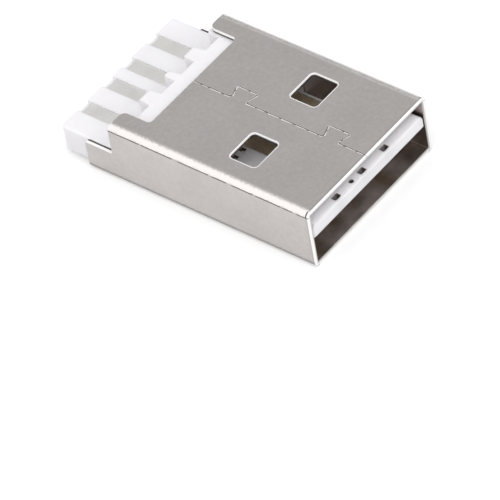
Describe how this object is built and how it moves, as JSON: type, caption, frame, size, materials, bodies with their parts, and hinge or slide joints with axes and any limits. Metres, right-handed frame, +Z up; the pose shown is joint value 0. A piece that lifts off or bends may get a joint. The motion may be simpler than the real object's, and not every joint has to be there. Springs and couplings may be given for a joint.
{
  "type": "usb-a plug",
  "caption": "Bare rectangular data plug: folded plated sheet shell with latch windows and an interlocked seam, white moulding with tongue and stepped solder tail, flat contact strips.",
  "frame": {"origin": "bottom centre of the part's box: on the outside of the plain wall, midway between the mouth and the rear end of the tail", "axes": "+X out of the mouth, the way the plug is pushed in; +Z up through the wall with the seam; +Y to the left when looking out of the mouth with the seam up"},
  "size_m": [0.02, 0.012, 0.0045],
  "materials": {
    "nickel_plate": "nickel-plated steel sheet, satin bright, with bright sheared edges",
    "white_plastic": "white engineering plastic, injection moulded, fine satin",
    "tinned_contact": "stamped copper alloy strip, tin plated, finely stippled"
  },
  "bodies": {
    "root": {"shell": "nickel_plate", "insulator": "white_plastic", "contact_outer_left": "tinned_contact", "contact_inner_left": "tinned_contact", "contact_inner_right": "tinned_contact", "contact_outer_right": "tinned_contact"}
  },
  "joints": []
}
